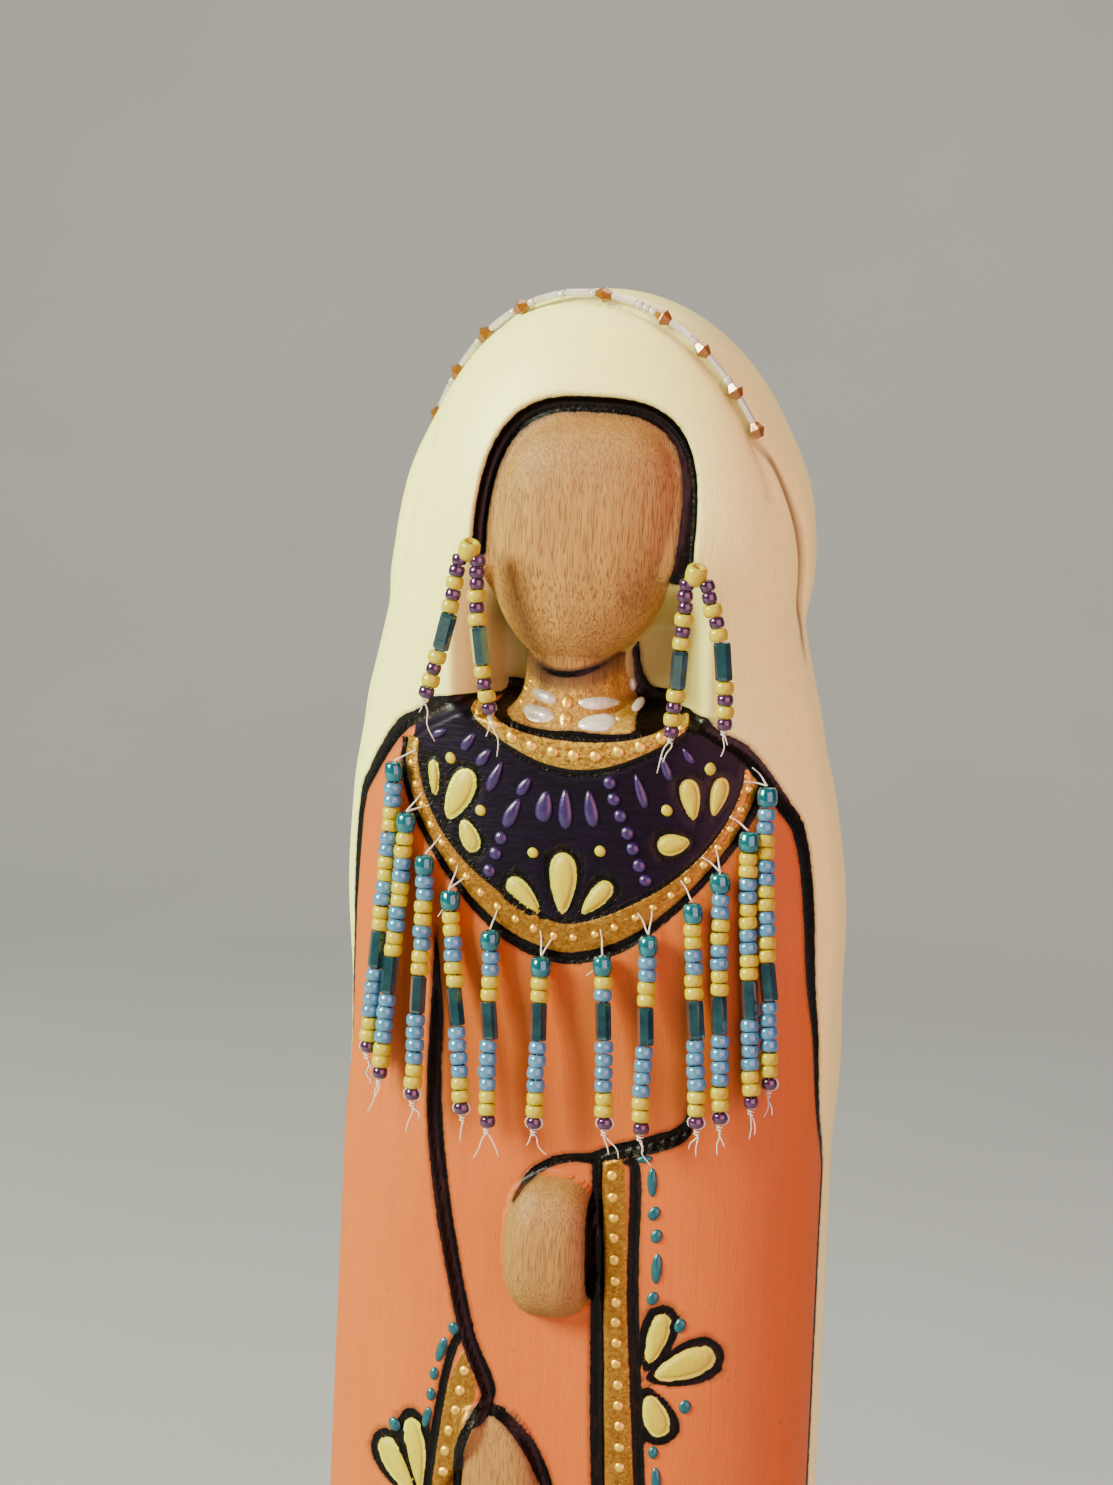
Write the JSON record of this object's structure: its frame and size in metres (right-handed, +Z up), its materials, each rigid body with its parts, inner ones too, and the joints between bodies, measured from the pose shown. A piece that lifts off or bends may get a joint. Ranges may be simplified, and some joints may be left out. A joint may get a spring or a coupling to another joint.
{
  "type": "carved wooden art doll",
  "caption": "Slim standing wooden doll in a veil and long dress, with a blank oval face, a painted collar, glass bead earrings, a bead fringe and a bead headband",
  "frame": {"origin": "middle of the flat underside of the base", "axes": "+Z up, the doll faces -Y, +X towards the viewer's right"},
  "size_m": [0.068, 0.0459, 0.3015],
  "materials": {
    "painted_wood": "carved basswood or beech, painted satin in coral and cream, with bare sanded wood at face, neck, hands and base",
    "raised_paint": "raised acrylic dots, strokes and petals in gold, yellow, violet, teal and pearl",
    "seed_glass": "opaque and lustred glass seed beads in yellow, light blue and purple, glossy",
    "clear_glass": "dark teal see-through bugle beads, clear and amber headband beads",
    "thread": "fine white beading thread, frayed at its ends"
  },
  "bodies": {
    "root": {"figure": "painted_wood", "headband_beads": "clear_glass", "earring_left": "seed_glass", "earring_right": "seed_glass", "fringe_strand_01": "seed_glass", "fringe_strand_02": "seed_glass", "fringe_strand_03": "seed_glass", "fringe_strand_04": "seed_glass", "fringe_strand_05": "seed_glass", "fringe_strand_06": "seed_glass", "fringe_strand_07": "seed_glass", "fringe_strand_08": "seed_glass", "fringe_strand_09": "seed_glass", "fringe_strand_10": "seed_glass", "fringe_strand_11": "seed_glass", "fringe_strand_12": "seed_glass"}
  },
  "joints": []
}
